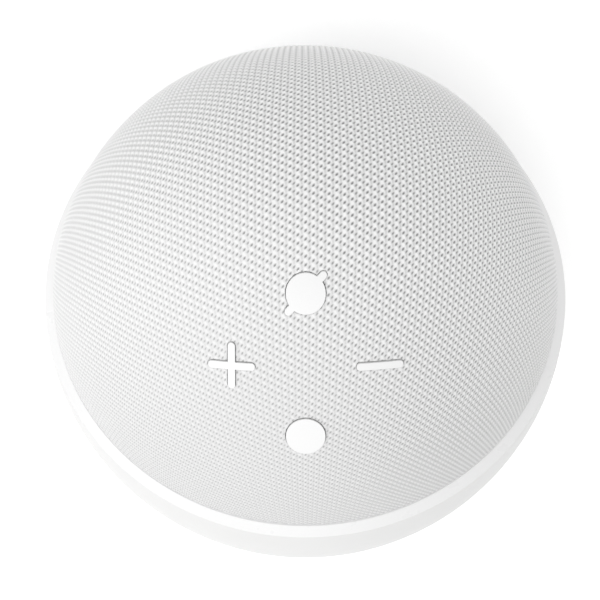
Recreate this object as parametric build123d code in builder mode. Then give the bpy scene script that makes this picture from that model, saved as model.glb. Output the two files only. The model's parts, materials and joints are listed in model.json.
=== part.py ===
from build123d import *
import os
from math import atan2, cos, pi, radians, sin, sqrt

# Ball-shaped smart speaker. Millimetres, +Z up, front towards -Y.
# The origin is the centre of the rubber foot's underside.

# Ball
BALL_R = 50.0
BALL_Z = 40.0
WALL = 2.2
RIM_TILT = 38.6
RIM_OFFSET = 4.6
LIP_BEVEL = 1.55

# Fabric cover and its perforated carrier
FABRIC_R = 48.5
FABRIC_T = 0.5
CARRIER_R = 47.95
CARRIER_T = 1.65
NECK_DROP = 0.6
TUCK = 1.2
LEDGE_S = RIM_OFFSET - TUCK - 1.9
LEDGE_IN_R = 44.4
HOLE_R = 1.5
HOLE_RING_STEP = 6.0
HOLE_PITCH = 4.8

# Base
FOOT_R = 26.5
FOOT_H = 2.2
FOOT_RECESS_R = 19.0
BASE_Z0 = 1.4
BASE_Z1 = 5.0
RING_Z0 = 5.2
RING_Z1 = 8.8
RING_IN_R = 33.0
SHELL_Z0 = 9.0
LEG_Z = 4.45
BOSS_PITCH_R = 29.2
BOSS_R = 3.0
BOSS_ANGLES = (30, 150, 270)
SCREW_R = 1.1
SCREW_HEAD_R = 2.1

# Ports
PORT_Z = 23.0
POWER_X = -7.5
AUDIO_X = 7.5
BAY_W = 27.0
BAY_H = 10.0
BAY_Y = 42.6
BAY_WALL = 1.5
POWER_NOSE_R = 3.4
POWER_BORE_R = 2.1
POWER_SOCKET_L = 10.0
POWER_PIN_R = 0.825
POWER_PIN_L = 8.7
POWER_PIN_TIP = 0.3
POWER_ROOT_R = 1.2
POWER_ROOT_L = 2.9
AUDIO_NOSE_R = 2.9
AUDIO_BORE_R = 1.8
AUDIO_BORE_L = 14.0

# Button cluster
CLUSTER_R = 13.25
DISC_R = 3.55
BAR_L = 8.4
BAR_W = 1.3
BUTTON_GAP = 0.3
BUTTON_PROUD = 0.45
FLANGE_Z = 81.2
FLANGE_T = 0.8
SWITCH_BOARD_Z = 75.6
SWITCH_BOARD_T = 1.2
SWITCH_BOARD_R = 19.0
SWITCH_H = 1.8
PLUNGER_H = 0.9

# Loudspeaker, on an axis pointing to the front
DRIVER_Z = 41.0
BAFFLE_Y = -27.0
ENCLOSURE_R = 26.5
ENCLOSURE_BACK_Y = 9.0
BASKET_R = 22.0
CONE_R = 14.6
COIL_R = 6.7
CAP_R = 8.4
CAP_CENTRE_Y = -19.2
CAP_EDGE_Y = -24.4
MAGNET_R = 17.0
MAGNET_T = 9.0
PLATE_R = 16.0
PLATE_T = 2.0
PLATE_FRONT_Y = -19.3
YOKE_T = 3.0
POLE_R = 5.9

# Main board, upright behind the loudspeaker
BOARD_Y = 14.0
BOARD_T = 1.4
BOARD_W = 50.0
BOARD_Z0 = 22.0
BOARD_Z1 = 64.0

os.makedirs("parts", exist_ok=True)


def save(piece, node):
    piece.part.label = node
    export_step(piece.part, f"parts/{node}.step")


def sphere_r(radius, z):
    return sqrt(radius**2 - (z - BALL_Z) ** 2)


BALL = (0, 0, BALL_Z)

# The rim plane's normal leans from +Z towards the front.
tilt = radians(RIM_TILT)
rim_normal = (0, -sin(tilt), cos(tilt))
RIM = Plane(origin=(0, 0, BALL_Z), x_dir=(1, 0, 0), z_dir=rim_normal)
# Profiles drawn here have the ball's centre at (0, 0) and the rim's axis upwards.
PROFILE = Plane(origin=(0, 0, BALL_Z), x_dir=(1, 0, 0), z_dir=(0, -cos(tilt), -sin(tilt)))
RIM_AXIS = Axis((0, 0, BALL_Z), rim_normal)
DRIVER = Plane(origin=(0, 0, DRIVER_Z), x_dir=(1, 0, 0), z_dir=(0, -1, 0))
DRIVER_SECTION = Plane(origin=(0, 0, DRIVER_Z), x_dir=(1, 0, 0), z_dir=(0, 0, 1))
DRIVER_AXIS = Axis((0, 0, DRIVER_Z), (0, 1, 0))


def rearward(y):
    """A plane facing the back at this depth; its local x runs along -X, its local y along +Z."""
    return Plane(origin=(0, y, 0), x_dir=(-1, 0, 0), z_dir=(0, 1, 0))


def polar(radius, angle):
    return (radius * cos(radians(angle)), radius * sin(radians(angle)))


# ---------------------------------------------------------------- places and outlines on top

MIC_PITCH = 8.5
MIC_XY = [(x, y) for x in (-MIC_PITCH, MIC_PITCH) for y in (-MIC_PITCH, MIC_PITCH)]
BUTTONS = {
    "microphone": (0, -CLUSTER_R),
    "action": (0, CLUSTER_R),
    "volume_up": (CLUSTER_R, 0),
    "volume_down": (-CLUSTER_R, 0),
}


def button_outline(name, grow):
    """Draws one button's outline, grown on every side, in the sketch being built."""
    x, y = BUTTONS[name]
    with Locations((x, y)):
        if name in ("microphone", "action"):
            Circle(DISC_R + grow)
        if name == "microphone":
            SlotOverall(2 * DISC_R + 3.0 + 2 * grow, BAR_W + 2 * grow, rotation=45)
        if name in ("volume_up", "volume_down"):
            SlotOverall(BAR_L + 2 * grow, BAR_W + 2 * grow)
        if name == "volume_up":
            SlotOverall(BAR_L + 2 * grow, BAR_W + 2 * grow, rotation=90)


def dome_profile(radius, neck_r, neck_s, foot_s):
    """Half outline of one skin: an arc from the pole, a neck at the rim and a straight tuck."""
    shoulder_s = neck_s + NECK_DROP
    shoulder_r = sqrt(radius**2 - shoulder_s**2)
    half = (atan2(shoulder_s, shoulder_r) + pi / 2) / 2
    middle = (radius * cos(half), radius * sin(half))
    return (0, radius), middle, (shoulder_r, shoulder_s), (neck_r, neck_s), (neck_r, foot_s)


def dome_skin(outer, inner):
    """Adds the solid between two skins, turned about the rim's axis, to the part being built."""
    with BuildSketch(PROFILE) as section:
        with BuildLine():
            ThreePointArc(outer[0], outer[1], outer[2])
            Polyline(outer[2], outer[3], outer[4], inner[4], inner[3], inner[2])
            ThreePointArc(inner[2], inner[1], inner[0])
            Line(inner[0], outer[0])
        make_face()
    revolve(section.sketch, axis=RIM_AXIS, revolution_arc=360)


# ---------------------------------------------------------------- casing

shell_in = BALL_R - WALL

with BuildPart() as rear_shell:
    with Locations(BALL):
        Sphere(BALL_R)
        Sphere(shell_in, mode=Mode.SUBTRACT)
    # Block behind the port bay
    with BuildSketch(rearward(BAY_Y - BAY_WALL)):
        with Locations((0, PORT_Z)):
            Rectangle(BAY_W + 3, BAY_H + 3)
    extrude(amount=BALL_R - BAY_Y)
    # Ledge that the carrier's tuck rests on
    with BuildSketch(PROFILE):
        with BuildLine():
            Polyline(
                (LEDGE_IN_R, LEDGE_S),
                (shell_in + 0.6, LEDGE_S),
                (shell_in + 0.6, LEDGE_S - 4.9),
                (shell_in - 0.6, LEDGE_S - 4.9),
                (LEDGE_IN_R, LEDGE_S - 1.5),
                (LEDGE_IN_R, LEDGE_S),
            )
        make_face()
    revolve(axis=RIM_AXIS, revolution_arc=360)
    with Locations(BALL):
        Sphere(BALL_R, mode=Mode.INTERSECT)
    split(bisect_by=RIM.offset(RIM_OFFSET), keep=Keep.BOTTOM)
    split(bisect_by=Plane.XY.offset(SHELL_Z0), keep=Keep.TOP)
    # Bosses for the base screws, each with a rib out to the wall
    for angle in BOSS_ANGLES:
        with Locations(Location((*polar(BOSS_PITCH_R, angle), LEG_Z))):
            Cylinder(BOSS_R, 8, align=(Align.CENTER, Align.CENTER, Align.MIN))
        with Locations(Location((*polar((BOSS_PITCH_R + 37.4) / 2, angle), SHELL_Z0), (0, 0, angle))):
            Box(37.4 - BOSS_PITCH_R, 1.6, 2.0, align=(Align.CENTER, Align.CENTER, Align.MIN))
    # Room for the sockets behind the bay's floor
    with BuildSketch(rearward(37)):
        with Locations((0, PORT_Z)):
            Rectangle(BAY_W - 0.6, BAY_H + 1.2)
    extrude(amount=BAY_Y - BAY_WALL - 37, mode=Mode.SUBTRACT)
    # Port bay, its two openings and the screws' holes
    with BuildSketch(rearward(BAY_Y)):
        with Locations((0, PORT_Z)):
            RectangleRounded(BAY_W, BAY_H, 3)
    extrude(amount=10, mode=Mode.SUBTRACT)
    with BuildSketch(rearward(BAY_Y - 5)):
        with Locations((-POWER_X, PORT_Z)):
            Circle(POWER_NOSE_R + 0.2)
        with Locations((-AUDIO_X, PORT_Z)):
            Circle(AUDIO_NOSE_R + 0.2)
    extrude(amount=10, mode=Mode.SUBTRACT)
    for angle in BOSS_ANGLES:
        with Locations(Location((*polar(BOSS_PITCH_R, angle), LEG_Z))):
            Cylinder(SCREW_R - 0.1, 6.8, align=(Align.CENTER, Align.CENTER, Align.MIN), mode=Mode.SUBTRACT)
    lip = rear_shell.faces().filter_by(RIM).sort_by(RIM_AXIS)[-1]
    chamfer(lip.outer_wire().edges(), LIP_BEVEL)
save(rear_shell, "rear_shell")

carrier_out = dome_profile(CARRIER_R, 46.72, RIM_OFFSET + 0.05, LEDGE_S)
carrier_in = dome_profile(CARRIER_R - CARRIER_T, 45.2, RIM_OFFSET + 0.4, LEDGE_S)

# Sound holes in rings about the rim's axis, clear of the button cluster and the screw posts
sound_holes = []
ring_angle = 0.0
while ring_angle < 79:
    count = max(1, round(2 * pi * CARRIER_R * sin(radians(ring_angle)) / HOLE_PITCH))
    for i in range(count):
        turn = 360 * i / count
        place = RIM * Rot(0, 0, turn) * Rot(0, ring_angle, 0) * Pos(0, 0, CARRIER_R)
        top = place.position
        if sqrt(top.X**2 + top.Y**2) > 24.5 or top.Z < BALL_Z:
            sound_holes.append(place)
    ring_angle += HOLE_RING_STEP

POST_ANGLES = (45, 135, 225, 315)
POST_PITCH_R = 16.6
POST_R = 1.9
post_z0 = SWITCH_BOARD_Z + SWITCH_BOARD_T
post_z1 = BALL_Z + sqrt((CARRIER_R - 0.6) ** 2 - (POST_PITCH_R + POST_R) ** 2)

with BuildPart() as grille_dome:
    dome_skin(carrier_out, carrier_in)
    # Posts that carry the switch board
    with Locations(*[(*polar(POST_PITCH_R, a), post_z0) for a in POST_ANGLES]):
        Cylinder(POST_R, post_z1 - post_z0, align=(Align.CENTER, Align.CENTER, Align.MIN))
    with Locations(*[(*polar(POST_PITCH_R, a), SWITCH_BOARD_Z) for a in POST_ANGLES]):
        Cylinder(0.7, 7, align=(Align.CENTER, Align.CENTER, Align.MIN), mode=Mode.SUBTRACT)
    for name in BUTTONS:
        with BuildSketch(Plane.XY.offset(FLANGE_Z)):
            button_outline(name, BUTTON_GAP)
        extrude(amount=12, mode=Mode.SUBTRACT)
    # Microphone openings
    with Locations(*[(x, y, FLANGE_Z) for x, y in MIC_XY]):
        Cylinder(0.6, 12, align=(Align.CENTER, Align.CENTER, Align.MIN), mode=Mode.SUBTRACT)
    with Locations(*sound_holes):
        Cylinder(HOLE_R, 8, mode=Mode.SUBTRACT)
save(grille_dome, "grille_dome")

fabric_out = dome_profile(FABRIC_R, 47.3, RIM_OFFSET + 0.2, RIM_OFFSET - TUCK)
fabric_in = dome_profile(FABRIC_R - FABRIC_T, 46.8, RIM_OFFSET + 0.1, RIM_OFFSET - TUCK)

with BuildPart() as fabric_cover:
    dome_skin(fabric_out, fabric_in)
    for name in BUTTONS:
        with BuildSketch(Plane.XY.offset(FLANGE_Z)):
            button_outline(name, BUTTON_GAP)
        extrude(amount=12, mode=Mode.SUBTRACT)
save(fabric_cover, "fabric_cover")

# ---------------------------------------------------------------- base

base_top_r = sphere_r(BALL_R, BASE_Z1)
base_low_r = sphere_r(BALL_R, BASE_Z0)
base_mid_z = (BASE_Z0 + BASE_Z1) / 2
ring_mid_z = (RING_Z0 + RING_Z1) / 2

with BuildPart() as light_ring:
    with BuildSketch(Plane.XZ):
        with BuildLine():
            Line((RING_IN_R, RING_Z0), (sphere_r(BALL_R, RING_Z0), RING_Z0))
            ThreePointArc(
                (sphere_r(BALL_R, RING_Z0), RING_Z0),
                (sphere_r(BALL_R, ring_mid_z), ring_mid_z),
                (sphere_r(BALL_R, RING_Z1), RING_Z1),
            )
            Polyline(
                (sphere_r(BALL_R, RING_Z1), RING_Z1),
                (RING_IN_R + 1.2, RING_Z1),
                (RING_IN_R, RING_Z1 - 1.2),
                (RING_IN_R, RING_Z0),
            )
        make_face()
    revolve(axis=Axis.Z, revolution_arc=360)
save(light_ring, "light_ring")

LED_POST_ANGLES = (0, 60, 120, 180, 240, 300)
LEG_XY = [(x, y) for x in (-14, 14) for y in (-16, 3)]
STANDOFF_X = 12.0
STANDOFF_Y = 22.0
PORT_BOARD_Z = 16.6
PORT_BOARD_T = 1.2

with BuildPart() as base_plate:
    with BuildSketch(Plane.XZ):
        with BuildLine():
            Line((0, BASE_Z0), (base_low_r, BASE_Z0))
            ThreePointArc(
                (base_low_r, BASE_Z0),
                (sphere_r(BALL_R, base_mid_z), base_mid_z),
                (base_top_r, BASE_Z1),
            )
            Polyline(
                (base_top_r, BASE_Z1),
                (RING_IN_R - 0.2, BASE_Z1),
                (RING_IN_R - 0.2, BASE_Z1 + 1.6),
                (RING_IN_R - 1.6, BASE_Z1 + 1.6),
                (RING_IN_R - 1.6, BASE_Z1 - 0.6),
                (0, BASE_Z1 - 0.6),
                (0, BASE_Z0),
            )
        make_face()
    revolve(axis=Axis.Z, revolution_arc=360)
    # Posts for the light board and standoffs for the port board
    with Locations(*[(*polar(29.0, a), BASE_Z1 - 0.8) for a in LED_POST_ANGLES]):
        Cylinder(1.3, 8.9 - BASE_Z1 + 0.8, align=(Align.CENTER, Align.CENTER, Align.MIN))
    with Locations((STANDOFF_X, STANDOFF_Y, BASE_Z1 - 0.8), (-STANDOFF_X, STANDOFF_Y, BASE_Z1 - 0.8)):
        Cylinder(2.2, PORT_BOARD_Z - BASE_Z1 + 0.8, align=(Align.CENTER, Align.CENTER, Align.MIN))
    with Locations((STANDOFF_X, STANDOFF_Y, BASE_Z1 + 3), (-STANDOFF_X, STANDOFF_Y, BASE_Z1 + 3)):
        Cylinder(0.8, 12, align=(Align.CENTER, Align.CENTER, Align.MIN), mode=Mode.SUBTRACT)
    # Notches in the upstand for the shell's bosses
    with Locations(*[(*polar(BOSS_PITCH_R, a), BASE_Z1 - 0.6) for a in BOSS_ANGLES]):
        Cylinder(BOSS_R + 0.3, 6, align=(Align.CENTER, Align.CENTER, Align.MIN), mode=Mode.SUBTRACT)
    # Seat for the foot and sunk holes for the screws
    with Locations((0, 0, 0)):
        Cylinder(FOOT_R + 0.15, FOOT_H, align=(Align.CENTER, Align.CENTER, Align.MIN), mode=Mode.SUBTRACT)
    with Locations(*[polar(BOSS_PITCH_R, a) for a in BOSS_ANGLES]):
        Cylinder(SCREW_R + 0.2, 12, align=(Align.CENTER, Align.CENTER, Align.MIN), mode=Mode.SUBTRACT)
        Cylinder(SCREW_HEAD_R + 0.2, 3.0, align=(Align.CENTER, Align.CENTER, Align.MIN), mode=Mode.SUBTRACT)
    with Locations(*LEG_XY):
        Cylinder(1.3, 12, align=(Align.CENTER, Align.CENTER, Align.MIN), mode=Mode.SUBTRACT)
        Cylinder(2.2, FOOT_H + 1.2, align=(Align.CENTER, Align.CENTER, Align.MIN), mode=Mode.SUBTRACT)
save(base_plate, "base_plate")

with BuildPart() as rubber_foot:
    Cylinder(FOOT_R, FOOT_H, align=(Align.CENTER, Align.CENTER, Align.MIN))
    Cylinder(FOOT_RECESS_R, 0.6, align=(Align.CENTER, Align.CENTER, Align.MIN), mode=Mode.SUBTRACT)
    fillet(rubber_foot.edges().group_by(Axis.Z)[0].sort_by(SortBy.LENGTH)[-1], 0.5)
save(rubber_foot, "rubber_foot")


def screw(x, y, head_z, length, shank_r, head_r, head_h, up):
    """One pan-head screw with a cross recess; `up` is the way its point goes."""
    turn = (0, 0, 0) if up else (180, 0, 0)
    with Locations(Location((x, y, head_z), turn)):
        Cylinder(head_r, head_h, align=(Align.CENTER, Align.CENTER, Align.MIN))
        Cylinder(shank_r, head_h + length, align=(Align.CENTER, Align.CENTER, Align.MIN))
        Box(head_r * 1.1, head_r * 0.3, head_h, mode=Mode.SUBTRACT)
        Box(head_r * 0.3, head_r * 1.1, head_h, mode=Mode.SUBTRACT)


with BuildPart() as base_screws:
    for angle in BOSS_ANGLES:
        screw(*polar(BOSS_PITCH_R, angle), 1.6, 7.5, SCREW_R - 0.15, SCREW_HEAD_R, 1.3, True)
save(base_screws, "base_screws")

with BuildPart() as enclosure_screws:
    for x, y in LEG_XY:
        screw(x, y, FOOT_H + 0.1, 6.5, 0.95, 2.0, 1.0, True)
save(enclosure_screws, "enclosure_screws")

# ---------------------------------------------------------------- light board

LED_BOARD_Z = 8.95
with BuildPart() as light_board:
    with BuildSketch(Plane.XY.offset(LED_BOARD_Z)):
        Circle(32.4)
        Circle(24.6, mode=Mode.SUBTRACT)
        with Locations(*[polar(BOSS_PITCH_R, a) for a in BOSS_ANGLES]):
            Circle(BOSS_R + 0.4, mode=Mode.SUBTRACT)
        with Locations((STANDOFF_X, STANDOFF_Y), (-STANDOFF_X, STANDOFF_Y)):
            Circle(2.6, mode=Mode.SUBTRACT)
    extrude(amount=1.0)
save(light_board, "light_board")

with BuildPart() as light_leds:
    with PolarLocations(30.9, 12, start_angle=15):
        with Locations((0, 0, LED_BOARD_Z - 1.05)):
            Box(1.6, 2.8, 1.0, align=(Align.CENTER, Align.CENTER, Align.MIN))
save(light_leds, "light_leds")

# ---------------------------------------------------------------- ports

JACK_BACK = BAY_Y - BAY_WALL - 0.1
JACK_Z0 = PORT_BOARD_Z + PORT_BOARD_T

with BuildPart() as port_board:
    with BuildSketch(Plane.XY.offset(PORT_BOARD_Z)):
        with Locations((0, 28)):
            Rectangle(31, 19)
        with Locations((STANDOFF_X, STANDOFF_Y), (-STANDOFF_X, STANDOFF_Y)):
            Circle(0.9, mode=Mode.SUBTRACT)
    extrude(amount=PORT_BOARD_T)
save(port_board, "port_board")

with BuildPart() as port_board_screws:
    for x in (STANDOFF_X, -STANDOFF_X):
        screw(x, STANDOFF_Y, PORT_BOARD_Z + PORT_BOARD_T + 0.95, 6, 0.7, 1.5, 0.9, False)
save(port_board_screws, "port_board_screws")


def jack(x, width, height, depth, nose_r, bore_r, bore_l):
    """A socket housing on the port board with a round nose through the bay's wall."""
    with Locations((x, JACK_BACK, JACK_Z0)):
        Box(width, depth, height, align=(Align.CENTER, Align.MAX, Align.MIN))
    with BuildSketch(rearward(JACK_BACK - 1)) as nose:
        with Locations((-x, PORT_Z)):
            Circle(nose_r)
    extrude(nose.sketch, amount=BAY_Y - JACK_BACK + 1)
    with BuildSketch(rearward(BAY_Y - bore_l)) as bore:
        with Locations((-x, PORT_Z)):
            Circle(bore_r)
    extrude(bore.sketch, amount=bore_l + 2, mode=Mode.SUBTRACT)


with BuildPart() as power_jack:
    jack(POWER_X, 9.0, 9.6, 13.0, POWER_NOSE_R, POWER_BORE_R + 0.35, POWER_SOCKET_L)
    with BuildSketch(rearward(JACK_BACK - 20)):
        with Locations((-POWER_X, PORT_Z)):
            Circle(POWER_ROOT_R + 0.02)
    extrude(amount=20, mode=Mode.SUBTRACT)
save(power_jack, "power_jack")

with BuildPart() as power_jack_sleeve:
    with BuildSketch(rearward(BAY_Y - POWER_SOCKET_L + 0.1)):
        with Locations((-POWER_X, PORT_Z)):
            Circle(POWER_BORE_R + 0.32)
            Circle(POWER_BORE_R, mode=Mode.SUBTRACT)
    extrude(amount=9.3)
save(power_jack_sleeve, "power_jack_sleeve")

with BuildPart() as power_jack_pin:
    with BuildSketch(rearward(BAY_Y - POWER_SOCKET_L)):
        with Locations((-POWER_X, PORT_Z)):
            Circle(POWER_PIN_R)
    extrude(amount=POWER_PIN_L + POWER_PIN_TIP)
    fillet(power_jack_pin.edges().sort_by(Axis.Y)[-1], POWER_PIN_TIP)
    # Thicker root, held in the housing
    with BuildSketch(rearward(BAY_Y - POWER_SOCKET_L - POWER_ROOT_L)):
        with Locations((-POWER_X, PORT_Z)):
            Circle(POWER_ROOT_R)
    extrude(amount=POWER_ROOT_L)
save(power_jack_pin, "power_jack_pin")

with BuildPart() as audio_jack:
    jack(AUDIO_X, 7.2, 8.0, 15.0, AUDIO_NOSE_R, AUDIO_BORE_R, AUDIO_BORE_L)
    for side in (-1, 1):
        with Locations((AUDIO_X + side * 3.0, JACK_BACK - 5, JACK_Z0 + 3.4)):
            Box(1.4, 5.0, 2.2, mode=Mode.SUBTRACT)
save(audio_jack, "audio_jack")

with BuildPart() as audio_jack_contacts:
    for side in (-1, 1):
        with Locations((AUDIO_X + side * 2.85, JACK_BACK - 5, JACK_Z0 + 3.4)):
            Box(0.3, 4.4, 1.6)
save(audio_jack_contacts, "audio_jack_contacts")

# ---------------------------------------------------------------- main board

BOARD_ZC = (BOARD_Z0 + BOARD_Z1) / 2
BOARD_HOLES = [(x, z) for x in (-21, 21) for z in (BOARD_Z0 + 4, BOARD_Z1 - 4)]


def on_board(y, x, z, width, height, thick):
    """A block on one face of the upright board: x and z of its centre, then its size."""
    with BuildSketch(rearward(y)) as outline:
        with Locations((-x, z)):
            Rectangle(width, height)
    extrude(outline.sketch, amount=thick)


with BuildPart() as main_board:
    with BuildSketch(rearward(BOARD_Y)):
        with Locations((0, BOARD_ZC)):
            RectangleRounded(BOARD_W, BOARD_Z1 - BOARD_Z0, 3)
        with Locations(*[(-x, z) for x, z in BOARD_HOLES]):
            Circle(1.2, mode=Mode.SUBTRACT)
    extrude(amount=BOARD_T)
save(main_board, "main_board")

back_face = BOARD_Y + BOARD_T + 0.05
with BuildPart() as processor:
    on_board(back_face, -6, 47, 13, 13, 1.2)
save(processor, "processor")

with BuildPart() as memory_chips:
    on_board(back_face, 10, 52, 9, 7, 1.0)
    on_board(back_face, 10, 42, 9, 7, 1.0)
save(memory_chips, "memory_chips")

with BuildPart() as processor_shield:
    on_board(back_face, 1, 47, 32, 21, 2.4)
    with BuildSketch(rearward(back_face)):
        with Locations((-1, 47)):
            Rectangle(31.2, 20.2)
    extrude(amount=2.1, mode=Mode.SUBTRACT)
save(processor_shield, "processor_shield")

with BuildPart() as thermal_pad:
    on_board(back_face + 2.45, 1, 47, 24, 16, 0.8)
save(thermal_pad, "thermal_pad")

# Finned plate that spreads the processor's heat
with BuildPart() as heat_spreader:
    on_board(back_face + 3.3, 0, 46, 44, 30, 1.6)
    for i in range(9):
        with BuildSketch(rearward(back_face + 4.8)):
            with Locations((-18 + 4.5 * i, 46)):
                Rectangle(1.2, 26)
        extrude(amount=6)
    for x in (-20, 20):
        on_board(back_face, x, 33, 4, 3, 3.4)
        on_board(back_face, x, 56, 4, 3, 3.4)
save(heat_spreader, "heat_spreader")

with BuildPart() as wireless_module:
    on_board(back_face, -12, 28, 12, 9, 1.8)
save(wireless_module, "wireless_module")

with BuildPart() as amplifier_chip:
    on_board(back_face, 6, 28, 7, 7, 1.0)
save(amplifier_chip, "amplifier_chip")

with BuildPart() as board_connectors:
    on_board(back_face, 14.5, 27.5, 7, 3.4, 3.0)
    on_board(back_face, 0, 61, 9, 2.6, 1.6)
    on_board(back_face, 14.5, 61, 7, 2.6, 1.6)
save(board_connectors, "board_connectors")

# ---------------------------------------------------------------- loudspeaker


def ring_on_axis(start, depth, outer, inner):
    """A ring on the loudspeaker's axis; `start` is its back face's Y and it runs forward."""
    with BuildSketch(DRIVER.offset(-start)) as ring:
        Circle(outer)
        if inner:
            Circle(inner, mode=Mode.SUBTRACT)
    extrude(ring.sketch, amount=depth)


def driver_profile(points):
    """Revolves a closed outline of (radius, Y) points about the loudspeaker's axis."""
    with BuildSketch(DRIVER_SECTION) as section:
        with BuildLine():
            Polyline(*points, points[0])
        make_face()
    revolve(section.sketch, axis=DRIVER_AXIS, revolution_arc=360)


with BuildPart() as enclosure_rear:
    # Legs down to the base plate
    with Locations(*[(x, y, LEG_Z) for x, y in LEG_XY]):
        Cylinder(3.0, 15, align=(Align.CENTER, Align.CENTER, Align.MIN))
    ring_on_axis(ENCLOSURE_BACK_Y, ENCLOSURE_BACK_Y - BAFFLE_Y - 0.1, ENCLOSURE_R, 0)
    with BuildSketch(DRIVER.offset(2 - ENCLOSURE_BACK_Y)):
        Circle(ENCLOSURE_R - 2)
    extrude(amount=60, mode=Mode.SUBTRACT)
    with Locations(*[(x, y, LEG_Z) for x, y in LEG_XY]):
        Cylinder(1.0, 8, align=(Align.CENTER, Align.CENTER, Align.MIN), mode=Mode.SUBTRACT)
    # Standoffs for the main board
    with BuildSketch(rearward(ENCLOSURE_BACK_Y - 1)):
        with Locations(*[(-x, z) for x, z in BOARD_HOLES]):
            Circle(2.4)
    extrude(amount=BOARD_Y - ENCLOSURE_BACK_Y + 0.9)
    with BuildSketch(rearward(ENCLOSURE_BACK_Y + 0.5)):
        with Locations(*[(-x, z) for x, z in BOARD_HOLES]):
            Circle(0.8)
    extrude(amount=6, mode=Mode.SUBTRACT)
    # Hole for the loudspeaker's wires
    with BuildSketch(rearward(ENCLOSURE_BACK_Y - 4)):
        with Locations((-10, 30)):
            Circle(1.5)
    extrude(amount=6, mode=Mode.SUBTRACT)
save(enclosure_rear, "enclosure_rear")

EAR_ANGLES = (45, 135, 225, 315)
with BuildPart() as enclosure_front:
    ring_on_axis(BAFFLE_Y, 2.2, ENCLOSURE_R + 1.5, 19.0)
    ring_on_axis(BAFFLE_Y + 2.5, 2.6, ENCLOSURE_R - 2.1, ENCLOSURE_R - 3.6)
    with BuildSketch(DRIVER.offset(-BAFFLE_Y - 0.5)):
        with Locations(*[polar(20.6, a) for a in EAR_ANGLES]):
            Circle(0.6)
    extrude(amount=4, mode=Mode.SUBTRACT)
save(enclosure_front, "enclosure_front")

frame_y = BAFFLE_Y - 2.2
with BuildPart() as speaker_gasket:
    ring_on_axis(frame_y - 0.05, 0.7, BASKET_R, 19.0)
    with BuildSketch(DRIVER.offset(-frame_y - 0.5)):
        with Locations(*[polar(20.6, a) for a in EAR_ANGLES]):
            Circle(0.9, mode=Mode.ADD)
    extrude(amount=3, mode=Mode.SUBTRACT)
save(speaker_gasket, "speaker_gasket")

flange_y = frame_y - 0.8
with BuildPart() as speaker_basket:
    driver_profile([
        (BASKET_R, flange_y), (BASKET_R, flange_y - 1.0), (17.6, flange_y - 1.0), (17.6, -25.0),
        (14.6, -20.2), (8.0, -20.2), (8.0, -19.4), (15.2, -19.4), (18.6, -24.8), (18.6, flange_y),
    ])
    # Windows in the basket's wall
    for angle in (0, 90, 180, 270):
        with BuildSketch(DRIVER.offset(21.6)):
            with Locations(Location((*polar(18, angle), 0), (0, 0, angle))):
                Rectangle(7, 12)
        extrude(amount=4.6, mode=Mode.SUBTRACT)
    with BuildSketch(DRIVER.offset(-flange_y - 0.5)):
        with Locations(*[polar(20.6, a) for a in EAR_ANGLES]):
            Circle(0.9)
    extrude(amount=3, mode=Mode.SUBTRACT)
save(speaker_basket, "speaker_basket")

with BuildPart() as speaker_screws:
    for angle in EAR_ANGLES:
        x, z = polar(20.6, angle)
        with BuildSketch(DRIVER.offset(-flange_y + 1.05)):
            with Locations((x, z)):
                Circle(1.3)
        extrude(amount=0.7)
        with BuildSketch(DRIVER.offset(-flange_y + 1.05)):
            with Locations((x, z)):
                Circle(0.5)
        extrude(amount=-4.6)
save(speaker_screws, "speaker_screws")

with BuildPart() as speaker_front_plate:
    ring_on_axis(PLATE_FRONT_Y + PLATE_T, PLATE_T, PLATE_R, POLE_R + 1.7)
save(speaker_front_plate, "speaker_front_plate")

magnet_back_y = PLATE_FRONT_Y + PLATE_T + 0.1 + MAGNET_T
with BuildPart() as speaker_magnet:
    ring_on_axis(magnet_back_y, MAGNET_T, MAGNET_R, POLE_R + 2.3)
save(speaker_magnet, "speaker_magnet")

with BuildPart() as speaker_yoke:
    ring_on_axis(magnet_back_y + 0.1 + YOKE_T, YOKE_T, PLATE_R, 0)
    ring_on_axis(magnet_back_y + 1.0, magnet_back_y + 1.1 - PLATE_FRONT_Y, POLE_R, 0)
save(speaker_yoke, "speaker_yoke")

with BuildPart() as voice_coil:
    ring_on_axis(-15.2, 9.0, COIL_R, COIL_R - 0.35)
save(voice_coil, "voice_coil")

with BuildPart() as speaker_cone:
    driver_profile([
        (COIL_R + 0.05, -23.6), (CONE_R, -30.2), (CONE_R + 0.6, -30.2), (CONE_R + 0.6, -29.8),
        (CONE_R + 0.2, -29.8), (COIL_R + 0.05, -23.1),
    ])
save(speaker_cone, "speaker_cone")

with BuildPart() as dust_cap:
    with Locations((0, CAP_CENTRE_Y, DRIVER_Z)):
        Sphere(CAP_R)
        Sphere(CAP_R - 0.4, mode=Mode.SUBTRACT)
    split(bisect_by=DRIVER.offset(-CAP_EDGE_Y), keep=Keep.TOP)
save(dust_cap, "dust_cap")

# Rubber edge roll and corrugated centring disc, which flex with the cone
with BuildPart() as cone_surround:
    with BuildSketch(DRIVER_SECTION):
        with BuildLine():
            Line((CONE_R, -30.25), (CONE_R + 0.9, -30.25))
            ThreePointArc((CONE_R + 0.9, -30.25), (CONE_R + 2.4, -32.1), (CONE_R + 3.9, -31.05))
            Polyline((CONE_R + 3.9, -31.05), (19.1, -31.05), (19.1, -31.4), (CONE_R + 4.2, -31.4))
            ThreePointArc((CONE_R + 4.2, -31.4), (CONE_R + 2.4, -32.5), (CONE_R + 0.6, -30.65))
            Polyline((CONE_R + 0.6, -30.65), (CONE_R, -30.65), (CONE_R, -30.25))
        make_face()
    revolve(axis=DRIVER_AXIS, revolution_arc=360)
save(cone_surround, "cone_surround")

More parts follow.
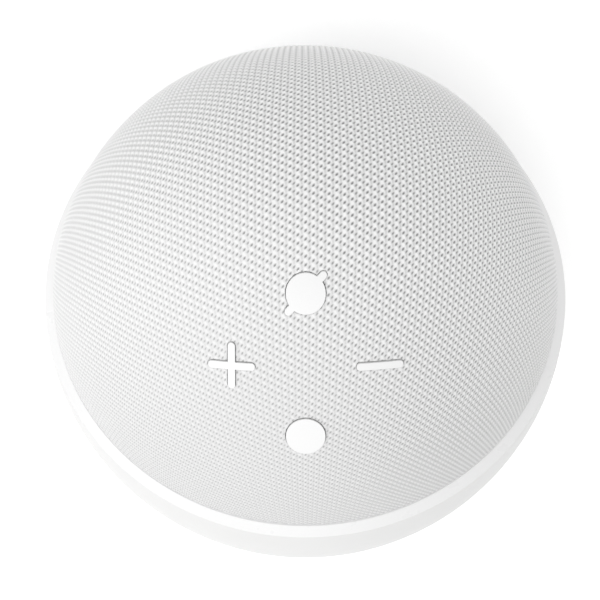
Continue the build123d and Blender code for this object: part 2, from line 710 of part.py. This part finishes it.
with BuildPart() as cone_spider:
    driver_profile([
        (COIL_R + 0.1, -22.2), (8.4, -22.7), (10.0, -21.9), (11.6, -22.7), (13.2, -21.9), (15.7, -22.3),
        (15.7, -22.0), (13.2, -21.6), (11.6, -22.4), (10.0, -21.6), (8.4, -22.4), (COIL_R + 0.1, -21.9),
    ])
save(cone_spider, "cone_spider")

with BuildPart() as main_board_screws:
    for x, z in BOARD_HOLES:
        with BuildSketch(rearward(BOARD_Y + BOARD_T + 0.05)):
            with Locations((-x, z)):
                Circle(1.8)
        extrude(amount=1.0)
        with BuildSketch(rearward(BOARD_Y - 3.5)):
            with Locations((-x, z)):
                Circle(0.7)
        extrude(amount=3.5 + BOARD_T + 0.5)
save(main_board_screws, "main_board_screws")

# ---------------------------------------------------------------- switch board under the buttons

switch_top = SWITCH_BOARD_Z + SWITCH_BOARD_T
with BuildPart() as switch_board:
    with BuildSketch(Plane.XY.offset(SWITCH_BOARD_Z)):
        Circle(SWITCH_BOARD_R)
        with Locations(*[polar(POST_PITCH_R, a) for a in POST_ANGLES]):
            Circle(0.9, mode=Mode.SUBTRACT)
    extrude(amount=SWITCH_BOARD_T - 0.05)
save(switch_board, "switch_board")

with BuildPart() as switch_board_screws:
    for angle in POST_ANGLES:
        screw(*polar(POST_PITCH_R, angle), SWITCH_BOARD_Z - 0.95, 5, 0.6, 1.4, 0.9, True)
save(switch_board_screws, "switch_board_screws")

with BuildPart() as microphones:
    with Locations(*[(x, y, switch_top) for x, y in MIC_XY]):
        Box(3.0, 2.2, 1.0, align=(Align.CENTER, Align.CENTER, Align.MIN))
save(microphones, "microphones")

with BuildPart() as microphone_seals:
    with Locations(*[(x, y, switch_top + 1.05) for x, y in MIC_XY]):
        Cylinder(1.3, 6.3, align=(Align.CENTER, Align.CENTER, Align.MIN))
        Cylinder(0.6, 6.3, align=(Align.CENTER, Align.CENTER, Align.MIN), mode=Mode.SUBTRACT)
save(microphone_seals, "microphone_seals")

with BuildPart() as switch_bodies:
    with Locations(*[(x, y, switch_top) for x, y in BUTTONS.values()]):
        Box(4.2, 4.2, SWITCH_H, align=(Align.CENTER, Align.CENTER, Align.MIN))
        with Locations((0, 0, 0.5)):
            Cylinder(1.2, SWITCH_H, align=(Align.CENTER, Align.CENTER, Align.MIN), mode=Mode.SUBTRACT)
save(switch_bodies, "switch_bodies")

plunger_z = switch_top + 1.2
for name, (x, y) in BUTTONS.items():
    with BuildPart() as plunger:
        with Locations((x, y, plunger_z)):
            Cylinder(1.0, SWITCH_H - 1.2 + PLUNGER_H, align=(Align.CENTER, Align.CENTER, Align.MIN))
    save(plunger, f"switch_plunger_{name}")

stem_z = switch_top + SWITCH_H + PLUNGER_H + 0.02
for name, (x, y) in BUTTONS.items():
    with BuildPart() as cap:
        with BuildSketch(Plane.XY.offset(FLANGE_Z)):
            button_outline(name, 0)
        extrude(amount=12)
        with Locations(BALL):
            Sphere(FABRIC_R + BUTTON_PROUD, mode=Mode.INTERSECT)
        with BuildSketch(Plane.XY.offset(FLANGE_Z)):
            button_outline(name, 0.75)
        extrude(amount=FLANGE_T)
        with Locations((x, y, stem_z)):
            Cylinder(1.5, FLANGE_Z - stem_z + 0.2, align=(Align.CENTER, Align.CENTER, Align.MIN))
    save(cap, f"button_{name}")

# ---------------------------------------------------------------- wiring

WIRE_PATHS = [
    [(15.6, 17.0, 25.6), (15.6, 16.6, 20.6), (13.5, 13.0, 19.0), (10.9, 11.0, 25.0), (10.55, 6.0, 30.0)],
    [(13.6, 17.0, 25.6), (13.6, 16.4, 20.8), (11.8, 12.8, 19.6), (9.6, 11.2, 25.6), (9.45, 6.0, 30.0)],
]
with BuildPart() as speaker_wires:
    for points in WIRE_PATHS:
        with BuildLine() as path:
            Spline(*points)
        with BuildSketch(Plane(origin=points[0], z_dir=path.line % 0)):
            Circle(0.4)
        sweep(path=path.line)
save(speaker_wires, "speaker_wires")

with BuildPart() as switch_flex:
    with BuildSketch(Plane.YZ.offset(-2.5)):
        with BuildLine():
            Polyline((6.0, 75.5), (17.3, 75.5), (17.3, 60.0), (17.1, 60.0), (17.1, 75.3), (6.0, 75.3), (6.0, 75.5))
        make_face()
    extrude(amount=5)
save(switch_flex, "switch_flex")
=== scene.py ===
import json
import math

import bpy
import numpy as np
from mathutils import Matrix, Vector


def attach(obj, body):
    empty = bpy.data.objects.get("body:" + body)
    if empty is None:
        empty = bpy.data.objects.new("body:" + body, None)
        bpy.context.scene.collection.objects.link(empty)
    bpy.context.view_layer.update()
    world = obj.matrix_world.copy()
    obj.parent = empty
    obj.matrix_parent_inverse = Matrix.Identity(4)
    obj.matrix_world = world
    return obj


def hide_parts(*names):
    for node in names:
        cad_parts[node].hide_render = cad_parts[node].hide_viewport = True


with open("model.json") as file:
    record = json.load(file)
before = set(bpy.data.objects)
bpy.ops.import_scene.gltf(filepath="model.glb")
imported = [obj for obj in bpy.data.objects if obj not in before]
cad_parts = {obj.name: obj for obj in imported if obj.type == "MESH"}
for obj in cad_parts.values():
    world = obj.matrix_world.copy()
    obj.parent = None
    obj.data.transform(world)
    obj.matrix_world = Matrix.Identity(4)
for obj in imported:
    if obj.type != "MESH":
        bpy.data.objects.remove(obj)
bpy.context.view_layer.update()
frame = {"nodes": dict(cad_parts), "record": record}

MM = 0.001
nodes = frame["nodes"]

# ------------------------------------------------------------------ the ball's sizes, in millimetres
BALL = np.array([0.0, 0.0, 40.0])
TILT = math.radians(38.6)
RIM_X = np.array([1.0, 0.0, 0.0])
RIM_V = np.array([0.0, math.cos(TILT), math.sin(TILT)])
RIM_N = np.array([0.0, -math.sin(TILT), math.cos(TILT)])
FABRIC_R = 48.45
SHOULDER_S = 5.4
EDGE_R = 47.3
EDGE_S = 4.65
TUCK_S = 3.5
BEVEL_S = 3.02
CLUSTER_R = 13.25
DISC_R = 3.55
BAR_L = 8.4
BAR_W = 1.3
BUTTON_XY = {
    "microphone": (0.0, -CLUSTER_R),
    "action": (0.0, CLUSTER_R),
    "volume_up": (CLUSTER_R, 0.0),
    "volume_down": (-CLUSTER_R, 0.0),
}


# ------------------------------------------------------------------ material helpers
class Nodes:
    """Short calls for building one material's node tree."""

    def __init__(self, name):
        self.m = bpy.data.materials.new(name)
        self.m.use_nodes = True
        self.t = self.m.node_tree
        self.t.nodes.clear()
        self.out = self.t.nodes.new("ShaderNodeOutputMaterial")
        self.bsdf = self.t.nodes.new("ShaderNodeBsdfPrincipled")
        self.t.links.new(self.bsdf.outputs[0], self.out.inputs[0])

    def node(self, kind, **props):
        n = self.t.nodes.new(kind)
        for k, v in props.items():
            setattr(n, k, v)
        return n

    def put(self, socket, value):
        if isinstance(value, bpy.types.NodeSocket):
            self.t.links.new(value, socket)
        else:
            socket.default_value = value

    def math(self, op, a, b=0.0, c=0.0):
        n = self.node("ShaderNodeMath", operation=op)
        for s, v in zip(n.inputs, (a, b, c)):
            self.put(s, v)
        return n.outputs[0]

    def mix(self, fac, a, b):
        n = self.node("ShaderNodeMix", data_type="RGBA")
        self.put(n.inputs[0], fac)
        self.put(n.inputs[6], a)
        self.put(n.inputs[7], b)
        return n.outputs[2]

    def place(self, scale=(1, 1, 1)):
        c = self.node("ShaderNodeTexCoord")
        m = self.node("ShaderNodeMapping")
        m.inputs["Scale"].default_value = scale
        self.put(m.inputs[0], c.outputs["Object"])
        return m.outputs[0]

    def noise(self, scale, detail=3.0, rough=0.55, where=None):
        n = self.node("ShaderNodeTexNoise")
        n.inputs["Scale"].default_value = scale
        n.inputs["Detail"].default_value = detail
        n.inputs["Roughness"].default_value = rough
        self.put(n.inputs["Vector"], where or self.place())
        return n.outputs[0]

    def span(self, value, lo, hi, low=0.0, high=1.0):
        n = self.node("ShaderNodeMapRange")
        for s, v in zip(n.inputs, (value, lo, hi, low, high)):
            self.put(s, v)
        return n.outputs[0]

    def bump(self, height, distance, strength=1.0, below=None):
        n = self.node("ShaderNodeBump")
        n.inputs["Strength"].default_value = strength
        n.inputs["Distance"].default_value = distance
        self.put(n.inputs["Height"], height)
        if below is not None:
            self.put(n.inputs["Normal"], below)
        return n.outputs[0]


def shades(rgb, by):
    return tuple(min(1.0, max(0.0, c * by)) for c in rgb) + (1.0,)


def moulded(name, rgb, rough=0.42, grain=2600.0, grain_d=0.00002, mottle=0.02, specular=0.45):
    """Moulded plastic: a fine spark-eroded grain, faint flow mottling and uneven gloss."""
    n = Nodes(name)
    wide = n.noise(45.0, 3.0)
    colour = n.mix(n.span(wide, 0.35, 0.65), shades(rgb, 1 - mottle), shades(rgb, 1 + mottle))
    n.put(n.bsdf.inputs["Base Color"], colour)
    fine = n.noise(grain, 2.0, 0.6)
    n.put(n.bsdf.inputs["Roughness"], n.span(n.noise(180.0, 4.0), 0.3, 0.7, rough - 0.05, rough + 0.05))
    n.put(n.bsdf.inputs["Normal"], n.bump(fine, grain_d, 0.6))
    n.bsdf.inputs["Specular IOR Level"].default_value = specular
    return n.m


def shell_white():
    """The outer shell: a matt moulded wall and a polished bevel at the rim, whose lighter colour is painted
    light.
    """
    n = Nodes("white_shell")
    from_centre = n.node("ShaderNodeVectorMath", operation="SUBTRACT")
    n.put(from_centre.inputs[0], n.place())
    from_centre.inputs[1].default_value = tuple(BALL * MM)
    along = n.node("ShaderNodeVectorMath", operation="DOT_PRODUCT")
    n.put(along.inputs[0], from_centre.outputs[0])
    along.inputs[1].default_value = tuple(RIM_N)
    bevel = n.span(along.outputs["Value"], BEVEL_S * MM, (BEVEL_S + 0.05) * MM)
    mottle = n.span(n.noise(45.0, 3.0), 0.35, 0.65)
    wall = n.mix(mottle, (0.745, 0.745, 0.74, 1), (0.765, 0.765, 0.76, 1))
    # painted light: the bevel is coloured lighter than the wall
    n.put(n.bsdf.inputs["Base Color"], n.mix(bevel, wall, (0.83, 0.83, 0.83, 1)))
    uneven = n.noise(180.0, 4.0)
    wall_rough = n.span(uneven, 0.3, 0.7, 0.38, 0.48)
    bevel_rough = n.span(uneven, 0.3, 0.7, 0.26, 0.34)
    n.put(n.bsdf.inputs["Roughness"], n.mix(bevel, wall_rough, bevel_rough))
    n.put(n.bsdf.inputs["Normal"], n.bump(n.noise(2600.0, 2.0, 0.6), 0.00002, 0.6))
    n.bsdf.inputs["Specular IOR Level"].default_value = 0.45
    return n.m


def metal(name, rgb, rough=0.3, stretch=(1, 1, 30)):
    n = Nodes(name)
    lines = n.noise(220.0, 3.0, 0.6, n.place(stretch))
    n.put(n.bsdf.inputs["Base Color"], n.mix(lines, shades(rgb, 0.82), shades(rgb, 1.12)))
    n.put(n.bsdf.inputs["Roughness"], n.span(lines, 0.2, 0.8, rough - 0.1, rough + 0.14))
    n.bsdf.inputs["Metallic"].default_value = 1.0
    n.put(n.bsdf.inputs["Normal"], n.bump(lines, 0.00003, 0.5))
    return n.m


def rubbery(name, rgb, rough=0.7):
    n = Nodes(name)
    speck = n.noise(1500.0, 4.0, 0.7)
    n.put(n.bsdf.inputs["Base Color"], n.mix(n.span(speck, 0.35, 0.7), shades(rgb, 0.8), shades(rgb, 1.2)))
    n.put(n.bsdf.inputs["Roughness"], n.span(n.noise(90.0), 0.3, 0.7, rough - 0.08, rough + 0.08))
    n.put(n.bsdf.inputs["Normal"], n.bump(speck, 0.00006, 0.7))
    n.bsdf.inputs["Specular IOR Level"].default_value = 0.3
    return n.m


def circuit(name):
    """Green solder mask with faint copper tracks under it."""
    n = Nodes(name)
    v = n.node("ShaderNodeTexVoronoi", feature="DISTANCE_TO_EDGE", distance="CHEBYCHEV")
    v.inputs["Scale"].default_value = 420.0
    n.put(v.inputs["Vector"], n.place())
    track = n.span(v.outputs["Distance"], 0.04, 0.09)
    n.put(n.bsdf.inputs["Base Color"], n.mix(track, (0.03, 0.20, 0.09, 1), (0.02, 0.12, 0.06, 1)))
    n.put(n.bsdf.inputs["Normal"], n.bump(track, 0.00003, 0.5))
    n.bsdf.inputs["Roughness"].default_value = 0.32
    return n.m


def milky(name):
    """Translucent diffuser of the light ring, unlit."""
    n = Nodes(name)
    cloud = n.noise(60.0, 3.0)
    n.put(n.bsdf.inputs["Base Color"], n.mix(cloud, (0.80, 0.81, 0.82, 1), (0.82, 0.83, 0.84, 1)))
    n.put(n.bsdf.inputs["Roughness"], n.span(n.noise(240.0), 0.3, 0.7, 0.22, 0.34))
    n.put(n.bsdf.inputs["Normal"], n.bump(n.noise(900.0), 0.000003, 0.4))
    n.bsdf.inputs["Subsurface Weight"].default_value = 0.15
    n.bsdf.inputs["Subsurface Radius"].default_value = (0.004, 0.004, 0.004)
    n.bsdf.inputs["Subsurface Scale"].default_value = 1.0
    return n.m


# ------------------------------------------------------------------ the knitted cover
# Its holes lie on a skewed lattice, with larger and smaller ones in turn along each row. The
# lattice is laid out flat and carried onto the dome from the pole, so cells shrink to the rim.
CELL_W = 2.81
CELL_H = 1.58
ROW = np.array([CELL_W / 4, -CELL_H / 4])
RISE = np.array([0.0, CELL_H])
SLANT = math.radians(54)
HOLE_LONG = 0.40
HOLE_SHORT = 0.21
STITCH_LONG = 0.55
STITCH_SHORT = 0.30
# Matched to the photo, whose holes show less towards the back and +X. There painted light fades the holes'
# dark colour, the relief fades with it, and painted shade mixes the cloth towards grey. Whether the cloth
# or only the light differs there isn't known. The last three constants at zero give an even cloth.
BACK_SPAN = (8.0, 44.0)
SIDE_SPAN = (-10.0, 40.0)
SIDE_LIGHT_WASHOUT = 0.38
BACK_SHADE = 0.20
SIDE_SHADE = 0.12


def weave_material():
    n = Nodes("cover_knit")
    at = n.node("ShaderNodeAttribute", attribute_name="weave").outputs["Vector"]
    sep = n.node("ShaderNodeSeparateXYZ")
    n.put(sep.inputs[0], at)
    row, rise, hole_strength_painted_light = sep.outputs[0], sep.outputs[1], sep.outputs[2]
    row_near = n.math("ROUND", row)
    fa = n.math("SUBTRACT", row, row_near)
    fb = n.math("SUBTRACT", rise, n.math("ROUND", rise))
    dx = n.math("MULTIPLY", fa, float(ROW[0]))
    dy = n.math("ADD", n.math("MULTIPLY", fa, float(ROW[1])), n.math("MULTIPLY", fb, CELL_H))
    c, s = math.cos(SLANT), math.sin(SLANT)
    long_d = n.math("ADD", n.math("MULTIPLY", dx, c / HOLE_LONG), n.math("MULTIPLY", dy, s / HOLE_LONG))
    short_d = n.math("ADD", n.math("MULTIPLY", dx, -s / HOLE_SHORT), n.math("MULTIPLY", dy, c / HOLE_SHORT))
    near = n.math("ADD", n.math("MULTIPLY", long_d, long_d), n.math("MULTIPLY", short_d, short_d))
    # painted shade: each hole is coloured dark as the shade in it, every other hole less so; towards the
    # back and +X the dark fades as painted light
    hole = n.math("POWER", 2.718, n.math("MULTIPLY", near, -1.0))
    odd = n.math("PINGPONG", row_near, 1.0)
    depth = n.span(odd, 0.0, 1.0, 1.0, 0.82)
    mask = n.math("MULTIPLY", n.math("MULTIPLY", hole, depth), hole_strength_painted_light)
    # painted highlight on the stitches between the larger holes, and painted shade in a groove down every
    # other column
    column = n.math("PINGPONG", row, 1.0)
    across_b = n.math("ABSOLUTE", n.math("MULTIPLY", fb, 2.0))
    crown_highlight = n.math("MULTIPLY", n.math("SUBTRACT", 1.0, column), across_b)
    groove_shade = n.math("MULTIPLY", column, n.span(across_b, 0.0, 1.0, 0.55, 1.0))
    groove_shade = n.math("MULTIPLY", groove_shade, hole_strength_painted_light)
    # fibres that run along the yarn
    where = n.node("ShaderNodeMapping")
    where.inputs["Rotation"].default_value = (0, 0, -SLANT)
    where.inputs["Scale"].default_value = (1.2, 9.0, 1.0)
    n.put(where.inputs[0], at)
    fibre = n.noise(2.2, 3.0, 0.6, where.outputs[0])
    patch = n.noise(38.0, 3.0)
    yarn = n.mix(n.span(fibre, 0.3, 0.7), (0.78, 0.78, 0.78, 1), (0.88, 0.88, 0.88, 1))
    yarn = n.mix(n.span(patch, 0.35, 0.65, 0.0, 0.12), yarn, (0.72, 0.72, 0.72, 1))
    yarn = n.mix(n.span(crown_highlight, 0.15, 0.8), yarn, (0.94, 0.94, 0.94, 1))
    yarn = n.mix(n.span(groove_shade, 0.45, 1.0, 0.0, 0.55), yarn, (0.52, 0.52, 0.52, 1))
    # the holes' painted shade darkens the yarn colour
    colour = n.mix(n.span(mask, 0.12, 0.85), yarn, (0.28, 0.28, 0.28, 1))
    # painted shade: the cloth is mixed towards grey towards the back and +X
    shade = n.node("ShaderNodeAttribute", attribute_name="shade").outputs["Fac"]
    colour = n.mix(shade, colour, (0.46, 0.46, 0.46, 1))
    n.put(n.bsdf.inputs["Base Color"], colour)
    n.put(n.bsdf.inputs["Roughness"], n.span(fibre, 0.2, 0.8, 0.68, 0.86))
    n.put(n.bsdf.inputs["Normal"], n.bump(fibre, 0.00006, 0.5))
    n.bsdf.inputs["Specular IOR Level"].default_value = 0.08
    return n.m


def smooth_step(value, low, high):
    t = np.clip((value - low) / (high - low), 0, 1)
    return t * t * (3 - 2 * t)


def bezier(a, b, c, t):
    t = t[:, None]
    return (1 - t) ** 2 * a + 2 * t * (1 - t) * b + t * t * c


def dome_profile():
    """Points (radius, height above the ball's centre along the rim's axis, arc length) past the shoulder."""
    start = np.array([math.sqrt(FABRIC_R**2 - SHOULDER_S**2), SHOULDER_S])
    bend = bezier(start, np.array([start[0] + 0.1, 4.9]), np.array([EDGE_R, EDGE_S]), np.linspace(0, 1, 24))
    line = np.array([[EDGE_R, s] for s in np.linspace(EDGE_S, TUCK_S, 8)[1:]])
    pts = np.concatenate([bend, line])
    return pts, np.concatenate([[0], np.cumsum(np.linalg.norm(np.diff(pts, axis=0), axis=1))])


def button_distance(p):
    """Distance from each point (x, y) to the nearest button's outline, negative inside, and its gradient."""

    def segment(centre, half, angle, r):
        d = np.array([math.cos(angle), math.sin(angle)])
        rel = p - centre
        t = np.clip(rel @ d, -half, half)
        off = rel - t[:, None] * d
        length = np.maximum(np.linalg.norm(off, axis=1), 1e-9)
        return length - r, off / length[:, None]

    bar = (BAR_L - BAR_W) / 2
    slash = (2 * DISC_R + 3.0 - BAR_W) / 2
    parts = [
        segment(np.array(BUTTON_XY["microphone"]), 0, 0, DISC_R),
        segment(np.array(BUTTON_XY["microphone"]), slash, math.radians(45), BAR_W / 2),
        segment(np.array(BUTTON_XY["action"]), 0, 0, DISC_R),
        segment(np.array(BUTTON_XY["volume_up"]), bar, 0, BAR_W / 2),
        segment(np.array(BUTTON_XY["volume_up"]), bar, math.radians(90), BAR_W / 2),
        segment(np.array(BUTTON_XY["volume_down"]), bar, 0, BAR_W / 2),
    ]
    d = np.stack([q[0] for q in parts])
    pick = d.argmin(0)
    g = np.stack([q[1] for q in parts])
    i = np.arange(len(p))
    return d[pick, i], g[pick, i]


def build_cover(across=3, up=4, gap=0.12, tuck=1.1):
    shoulder_rho = math.acos(SHOULDER_S / FABRIC_R)
    shoulder_q = 2 * FABRIC_R * math.tan(shoulder_rho / 2)
    shrink = math.cos(shoulder_rho / 2) ** 2
    past, arc = dome_profile()
    q_end = shoulder_q + arc[-1] / shrink
    # the grid of lattice steps that the disc of radius q_end holds
    reach_b = int(math.ceil(q_end / CELL_H * 2.2)) + 2
    reach_a = int(math.ceil(q_end / ROW[0])) + 2
    ia = np.arange(-reach_a * across, reach_a * across + 1)
    ib = np.arange(-reach_b * up, reach_b * up + 1)
    alpha, beta = np.meshgrid(ia / across, ib / up, indexing="ij")
    flat = alpha[..., None] * ROW + beta[..., None] * RISE
    q = np.linalg.norm(flat, axis=2)
    keep = q <= q_end
    quad = keep[:-1, :-1] & keep[1:, :-1] & keep[:-1, 1:] & keep[1:, 1:]
    used = np.zeros_like(keep)
    for di in (0, 1):
        for dj in (0, 1):
            used[di : used.shape[0] - 1 + di, dj : used.shape[1] - 1 + dj] |= quad
    index = -np.ones(used.shape, np.int64)
    index[used] = np.arange(used.sum())
    a, b, flat, q = alpha[used], beta[used], flat[used], q[used]
    # carried onto the dome
    phi = np.arctan2(flat[:, 1], flat[:, 0])
    rho = 2 * np.arctan(np.minimum(q, shoulder_q) / (2 * FABRIC_R))
    r, s = FABRIC_R * np.sin(rho), FABRIC_R * np.cos(rho)
    nr, ns = np.sin(rho), np.cos(rho)
    over = q > shoulder_q
    t = (q[over] - shoulder_q) * shrink
    r[over] = np.interp(t, arc, past[:, 0])
    s[over] = np.interp(t, arc, past[:, 1])
    nr[over], ns[over] = 1.0, 0.0
    across_v = np.cos(phi)[:, None] * RIM_X + np.sin(phi)[:, None] * RIM_V
    co = BALL + r[:, None] * across_v + s[:, None] * RIM_N
    normal = nr[:, None] * across_v + ns[:, None] * RIM_N
    # holes sink and ribs stand
    depth = np.zeros(len(a))
    c, sn = math.cos(SLANT), math.sin(SLANT)
    for da in (-1, 0, 1):
        for db in (-1, 0, 1):
            ra, rb = np.round(a) + da, np.round(b) + db
            d = (a - ra)[:, None] * ROW + (b - rb)[:, None] * RISE
            le = (d[:, 0] * c + d[:, 1] * sn) / HOLE_LONG
            sh = (-d[:, 0] * sn + d[:, 1] * c) / HOLE_SHORT
            main = np.mod(ra, 2) == 0
            depth += np.where(main, 0.34, 0.29) * np.exp(-(le**2) - sh**2)
            d = (a - ra)[:, None] * ROW + (b - rb - 0.5)[:, None] * RISE
            le = (d[:, 0] * c + d[:, 1] * sn) / STITCH_LONG
            sh = (-d[:, 0] * sn + d[:, 1] * c) / STITCH_SHORT
            depth -= np.where(main, 0.20, 0.0) * np.exp(-(le**2) - sh**2)
    local = np.cos(rho / 2)
    # painted light and shade towards the back and +X: there the holes' dark colour and relief fade, and the
    # cloth is mixed towards grey
    back = smooth_step(r * np.sin(phi), *BACK_SPAN)
    side = smooth_step(r * (0.8 * np.cos(phi) + 0.6 * np.sin(phi)), *SIDE_SPAN)
    hole_strength_painted_light = 1 - SIDE_LIGHT_WASHOUT * side
    shade = BACK_SHADE * back + SIDE_SHADE * side
    fade = np.clip((q_end - q) / 4.0, 0, 1) * local * hole_strength_painted_light
    height = -depth * np.where(over, 0.6 * fade, fade)
    rng = np.random.default_rng(7)
    height += rng.normal(0, 0.006, len(a))
    # the cover turns down into each button's opening
    dist, grad = button_distance(co[:, :2])
    top = co[:, 2] > BALL[2] + 20
    near = top & (dist < 1.2)
    height = np.where(near, height * np.clip((dist - gap) / 0.9, 0, 1), height)
    co = co + normal * height[:, None]
    inside = top & (dist < gap)
    push = np.where(inside, gap - dist, 0.0)
    xy = co[:, :2] + grad * push[:, None]
    z_sphere = BALL[2] + np.sqrt(np.maximum(FABRIC_R**2 - (xy**2).sum(1), 1.0))
    co[inside, :2] = xy[inside]
    co[inside, 2] = (z_sphere - np.minimum(push, tuck) * 1.0)[inside]
    gone = top & (dist < gap - tuck)
    quads = np.stack([index[:-1, :-1], index[1:, :-1], index[1:, 1:], index[:-1, 1:]], -1)[quad]
    quads = quads[~gone[quads].any(1)]
    alive = np.unique(quads)
    renumber = -np.ones(len(co), np.int64)
    renumber[alive] = np.arange(len(alive))
    co, a, b, hole_strength_painted_light, shade = co[alive], a[alive], b[alive], hole_strength_painted_light[alive], shade[alive]
    quads = renumber[quads]
    me = bpy.data.meshes.new("cover_knit")
    me.vertices.add(len(co))
    me.vertices.foreach_set("co", (co * MM).astype(np.float32).ravel())
    me.loops.add(quads.size)
    me.loops.foreach_set("vertex_index", quads.astype(np.int32).ravel())
    me.polygons.add(len(quads))
    me.polygons.foreach_set("loop_start", np.arange(0, quads.size, 4, dtype=np.int32))
    me.update(calc_edges=True)
    me.validate()
    weave = me.attributes.new("weave", "FLOAT_VECTOR", "POINT")
    weave.data.foreach_set("vector", np.stack([a, b, hole_strength_painted_light], 1).astype(np.float32).ravel())
    tone = me.attributes.new("shade", "FLOAT", "POINT")
    tone.data.foreach_set("value", shade.astype(np.float32))
    me.shade_smooth()
    ob = bpy.data.objects.new("cover_knit", me)
    bpy.context.scene.collection.objects.link(ob)
    return ob


cover = build_cover()
# The mesh must face outwards.
first = cover.data.polygons[len(cover.data.polygons) // 2]
if first.normal.dot(first.center - Vector(BALL * MM)) < 0:
    cover.data.flip_normals()
knit = weave_material()
cover.data.materials.append(knit)
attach(cover, "casing")
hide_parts("fabric_cover")

# ------------------------------------------------------------------ materials of the CAD nodes
white = shell_white()
SLOT_LOOKS = {
    "cover_fabric": knit,
    "shell_plastic": white,
    "carrier_plastic": moulded("carrier", (0.60, 0.60, 0.60), 0.55),
    "button_plastic": moulded("button_white", (0.86, 0.86, 0.86), 0.48, mottle=0.01),
    "light_diffuser": milky("light_diffuser"),
    "foot_rubber": rubbery("foot_rubber", (0.09, 0.09, 0.095)),
    "base_plastic": moulded("base_white", (0.78, 0.78, 0.775), 0.45),
    "screw_steel": metal("screw_steel", (0.50, 0.50, 0.51)),
    "circuit_board": circuit("circuit_board"),
    "socket_plastic": moulded("socket_black", (0.03, 0.03, 0.03), 0.5),
    "contact_metal": metal("contact_metal", (0.80, 0.77, 0.68), 0.22),
    "chip_plastic": moulded("chip_black", (0.02, 0.02, 0.022), 0.5),
    "led_plastic": moulded("led_lens", (0.85, 0.80, 0.55), 0.25),
    "shield_metal": metal("shield_metal", (0.68, 0.68, 0.69), 0.3),
    "heat_metal": metal("heat_metal", (0.62, 0.63, 0.64), 0.38),
    "pad_silicone": rubbery("pad_silicone", (0.28, 0.38, 0.52)),
    "enclosure_plastic": moulded("enclosure_black", (0.035, 0.035, 0.037), 0.5),
    "gasket_foam": rubbery("gasket_foam", (0.03, 0.03, 0.03), 0.85),
    "basket_steel": moulded("basket_black", (0.03, 0.03, 0.032), 0.38),
    "magnet_ferrite": moulded("magnet_ferrite", (0.06, 0.06, 0.065), 0.5),
    "yoke_steel": metal("yoke_steel", (0.46, 0.47, 0.48), 0.3),
    "cone_paper": rubbery("cone_paper", (0.045, 0.045, 0.05), 0.8),
    "surround_rubber": rubbery("surround_rubber", (0.02, 0.02, 0.02), 0.6),
    "spider_cloth": rubbery("spider_cloth", (0.45, 0.30, 0.12), 0.85),
    "coil_copper": metal("coil_copper", (0.72, 0.35, 0.16), 0.3),
    "wire_sheath": moulded("wire_sheath", (0.45, 0.03, 0.025), 0.4),
    "flex_film": moulded("flex_film", (0.45, 0.22, 0.04), 0.3),
    "seal_silicone": rubbery("seal_silicone", (0.10, 0.10, 0.10)),
}
for part in frame["record"]["subparts"]:
    ob = nodes[part["node"]]
    look = SLOT_LOOKS[part["material_slot"]]
    if not ob.material_slots:
        ob.data.materials.append(look)
    for s in ob.material_slots:
        s.material = look

# ------------------------------------------------------------------ floor, light and camera
floor_me = bpy.data.meshes.new("floor")
side = 4.0
low = -0.00005
corners = [(-side, -side, low), (side, -side, low), (side, side, low), (-side, side, low)]
floor_me.from_pydata(corners, [], [(0, 1, 2, 3)])
floor = bpy.data.objects.new("floor", floor_me)
bpy.context.scene.collection.objects.link(floor)
floor_look = Nodes("floor_white")
floor_look.bsdf.inputs["Base Color"].default_value = (0.96, 0.96, 0.96, 1)
floor_look.bsdf.inputs["Emission Color"].default_value = (1, 1, 1, 1)
floor_look.bsdf.inputs["Emission Strength"].default_value = 0.20
floor_look.bsdf.inputs["Roughness"].default_value = 0.9
floor_look.bsdf.inputs["Specular IOR Level"].default_value = 0.1
floor.data.materials.append(floor_look.m)


def lamp(name, place, aim, size, power):
    data = bpy.data.lights.new(name, "AREA")
    data.shape = "DISK"
    data.size = size
    data.energy = power
    ob = bpy.data.objects.new(name, data)
    ob.location = place
    ob.rotation_euler = (Vector(aim) - Vector(place)).to_track_quat("-Z", "Y").to_euler()
    bpy.context.scene.collection.objects.link(ob)


ball = Vector(BALL * MM)
lamp("key", (1.13, 0.41, 0.85), ball, 1.2, 5.0)
lamp("top", (0.15, 0.05, 1.6), ball, 1.6, 12.0)

world = bpy.data.worlds.new("studio")
bpy.context.scene.world = world
world.use_nodes = True
world.node_tree.nodes["Background"].inputs[0].default_value = (1, 1, 1, 1)
world.node_tree.nodes["Background"].inputs[1].default_value = 0.61

view = bpy.context.scene.view_settings
view.view_transform = "Standard"
view.look = "None"
view.exposure = 0.0
view.gamma = 1.0

LEAN = math.radians(15.05)
DISTANCE = 0.6
away = Vector((0, -math.sin(LEAN), math.cos(LEAN)))
up = Vector((0, -math.cos(LEAN), -math.sin(LEAN)))
right = up.cross(away)
aim = ball - right * 0.00102 - up * 0.00048
cam_data = bpy.data.cameras.new("camera")
cam_data.sensor_width = 36.0
cam_data.lens = 186.7
cam_data.clip_start = 0.01
cam = bpy.data.objects.new("camera", cam_data)
turn = Matrix((right, up, away)).transposed()
cam.matrix_world = Matrix.Translation(aim + away * DISTANCE) @ turn.to_4x4()
bpy.context.scene.collection.objects.link(cam)
bpy.context.scene.camera = cam

# ------------------------------------------------------------------ update
bpy.context.view_layer.update()
